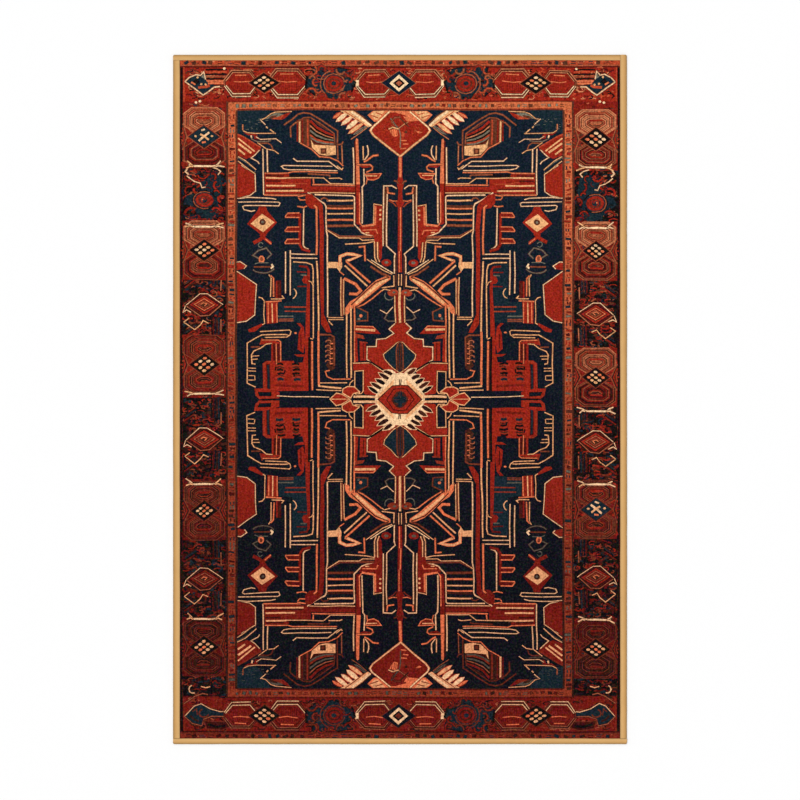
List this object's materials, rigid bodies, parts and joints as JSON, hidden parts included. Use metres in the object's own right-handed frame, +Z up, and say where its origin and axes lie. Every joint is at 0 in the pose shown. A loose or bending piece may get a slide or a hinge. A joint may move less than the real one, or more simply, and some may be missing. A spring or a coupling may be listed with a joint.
{
  "type": "area rug",
  "caption": "Rectangular low-pile patterned area rug with a felt cushion, a grip backing and folded tape binding sewn round its edges; lies flat on a floor.",
  "frame": {"origin": "middle of the rug's footprint, on the floor plane", "axes": "+X across the rug's width, +Y along its length, +Z up, out of the patterned face"},
  "size_m": [1.6, 2.43, 0.008],
  "materials": {
    "printed_face": "low ribbed pile with a multicolour brick red, navy, terracotta and cream pattern, faded lighter towards one end",
    "felt": "needle-punched grey felt",
    "grip_backing": "matt backing with small grip dots",
    "binding_tape": "matt woven tan tape, folded over the edge",
    "sewing_thread": "twisted tan sewing thread"
  },
  "bodies": {
    "root": {"face_cloth": "printed_face", "felt_core": "felt", "grip_backing": "grip_backing", "binding_left": "binding_tape", "binding_right": "binding_tape", "binding_top": "binding_tape", "binding_bottom": "binding_tape", "needle_thread_left": "sewing_thread", "needle_thread_right": "sewing_thread", "needle_thread_top": "sewing_thread", "needle_thread_bottom": "sewing_thread", "bobbin_thread_left": "sewing_thread", "bobbin_thread_right": "sewing_thread", "bobbin_thread_top": "sewing_thread", "bobbin_thread_bottom": "sewing_thread"}
  },
  "joints": []
}
